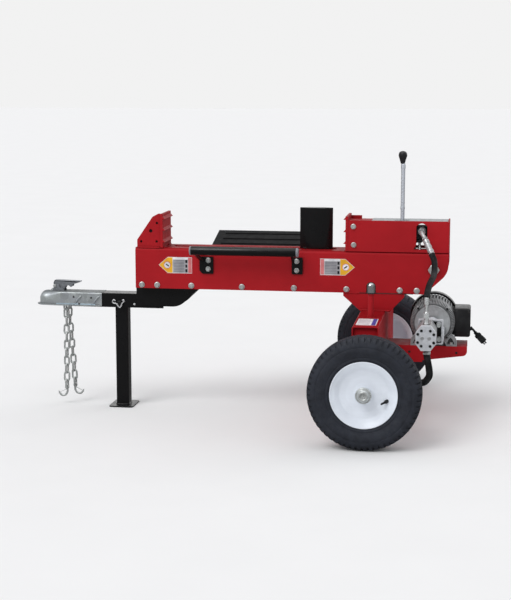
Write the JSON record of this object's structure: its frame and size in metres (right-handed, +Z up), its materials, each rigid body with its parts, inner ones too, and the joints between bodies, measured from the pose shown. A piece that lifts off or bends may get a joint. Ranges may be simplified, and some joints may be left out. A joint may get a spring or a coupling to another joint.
{
  "type": "log splitter",
  "caption": "Towable electric log splitter: hydraulic wedge sliding on a beam between two toothed push plates, on two wheels with a tow coupler, chains and a prop leg.",
  "frame": {"origin": "on the ground, under the middle of the machine's length and width", "axes": "+X along the beam from the tow coupler towards the motor, +Z up, -Y the side with the pump, the hoses and the fixed cradle rail"},
  "size_m": [1.788, 1.202, 1.019],
  "materials": {
    "red_paint": "gloss red enamel",
    "black_paint": "satin black enamel",
    "zinc": "bright zinc plate",
    "chrome": "polished",
    "cast_iron": "dark, as cast",
    "cast_aluminium": "as cast",
    "motor_grey": "grey paint",
    "rubber": "matt",
    "tyre": "matt, moulded tread",
    "black_plastic": "satin",
    "rim_white": "white powder coat"
  },
  "bodies": {
    "frame": {"beam_housing": "red_paint", "beam_bottom_guard": "black_paint", "left_push_plate": "red_paint", "left_gusset_near": "red_paint", "left_gusset_far": "red_paint", "right_push_plate": "red_paint", "valve_guard_near": "red_paint", "valve_guard_far": "red_paint", "valve_guard_end": "red_paint", "valve_top_cover": "zinc", "cylinder_barrel": "black_paint", "cylinder_gland": "cast_iron", "cylinder_anchor_bolt": "zinc", "control_valve_body": "cast_iron", "valve_port_fitting": "zinc", "pressure_hose": "rubber", "pump_outlet_fitting": "zinc", "suction_hose": "rubber", "return_hose": "rubber", "cylinder_feed_tube": "zinc", "saddle": "red_paint", "tank": "red_paint", "filler_tube": "red_paint", "axle_spindle_near": "cast_iron", "axle_spindle_far": "cast_iron", "motor_tray": "red_paint", "motor_housing": "motor_grey", "motor_front_bell": "cast_aluminium", "motor_fan_cover": "black_paint", "capacitor_box": "black_plastic", "power_cord": "rubber", "pump_bracket": "cast_aluminium", "pump_body": "cast_aluminium", "pump_cover": "cast_aluminium", "tongue": "black_paint", "tongue_bracket": "black_paint", "coupler": "zinc", "cradle_rail": "black_paint", "log_tray": "black_paint"},
    "ram": {"cylinder_rod": "chrome", "rod_pin": "zinc", "wedge_carriage": "black_paint", "wedge": "black_paint"},
    "lever": {"lever_rod": "chrome", "lever_knob": "black_plastic"},
    "spool": {"valve_spool": "chrome"},
    "filler_cap": {"filler_cap": "chrome"},
    "wheel_near": {"wheel_rim_near": "rim_white", "tyre_near": "tyre", "hub_cap_near": "zinc"},
    "wheel_far": {"wheel_rim_far": "rim_white", "tyre_far": "tyre", "hub_cap_far": "zinc"},
    "rotor": {"motor_rotor": "chrome"},
    "pump_drive": {"pump_gear": "chrome"},
    "latch": {"coupler_latch": "zinc"},
    "chain_near": {"chain_near": "zinc"},
    "chain_far": {"chain_far": "zinc"},
    "leg": {"leg": "black_paint"},
    "hitch_pin": {"hitch_pin": "zinc"}
  },
  "joints": [
    {"name": "wedge_slide", "type": "slide", "parent": "frame", "child": "ram", "axis": [-1, 0, 0], "range_m": [0, 0.469]},
    {"name": "wheel_spin_near", "type": "hinge", "parent": "frame", "child": "wheel_near", "pos_m": [0.46496, -0.541, 0.203], "axis": [0, 1, 0], "continuous": true},
    {"name": "wheel_spin_far", "type": "hinge", "parent": "frame", "child": "wheel_far", "pos_m": [0.46496, 0.541, 0.203], "axis": [0, 1, 0], "continuous": true},
    {"name": "lever_tilt", "type": "hinge", "parent": "frame", "child": "lever", "pos_m": [0.55696, 0, 0.7], "axis": [0, 1, 0], "range_deg": [-14, 14]},
    {"name": "spool_slide", "type": "slide", "parent": "frame", "child": "spool", "axis": [1, 0, 0], "range_m": [-0.006, 0.006]},
    {"name": "filler_cap_lift", "type": "slide", "parent": "frame", "child": "filler_cap", "axis": [0, 0, 1], "range_m": [0, 0.24]},
    {"name": "motor_spin", "type": "hinge", "parent": "frame", "child": "rotor", "pos_m": [0.68296, 0, 0.38], "axis": [0, 1, 0], "continuous": true},
    {"name": "pump_spin", "type": "hinge", "parent": "frame", "child": "pump_drive", "pos_m": [0.68296, 0, 0.38], "axis": [0, 1, 0], "continuous": true},
    {"name": "latch_lift", "type": "hinge", "parent": "frame", "child": "latch", "pos_m": [-0.81804, 0, 0.478], "axis": [0, -1, 0], "range_deg": [0, 75]},
    {"name": "leg_fold", "type": "hinge", "parent": "frame", "child": "leg", "pos_m": [-0.54404, 0, 0.422], "axis": [0, -1, 0], "range_deg": [0, 90]},
    {"name": "hitch_pin_pull", "type": "slide", "parent": "frame", "child": "hitch_pin", "axis": [0, -1, 0], "range_m": [0, 0.12]},
    {"name": "chain_swing_near", "type": "hinge", "parent": "frame", "child": "chain_near", "pos_m": [-0.77204, -0.015, 0.41], "axis": [0, 1, 0], "range_deg": [-15, 15]},
    {"name": "chain_swing_far", "type": "hinge", "parent": "frame", "child": "chain_far", "pos_m": [-0.77204, 0.015, 0.41], "axis": [0, 1, 0], "range_deg": [-15, 15]}
  ],
  "couplings": [
    {"joint": "spool_slide", "follows": "lever_tilt", "m_per_rad": 0.02},
    {"joint": "pump_spin", "follows": "motor_spin", "ratio": 1}
  ]
}
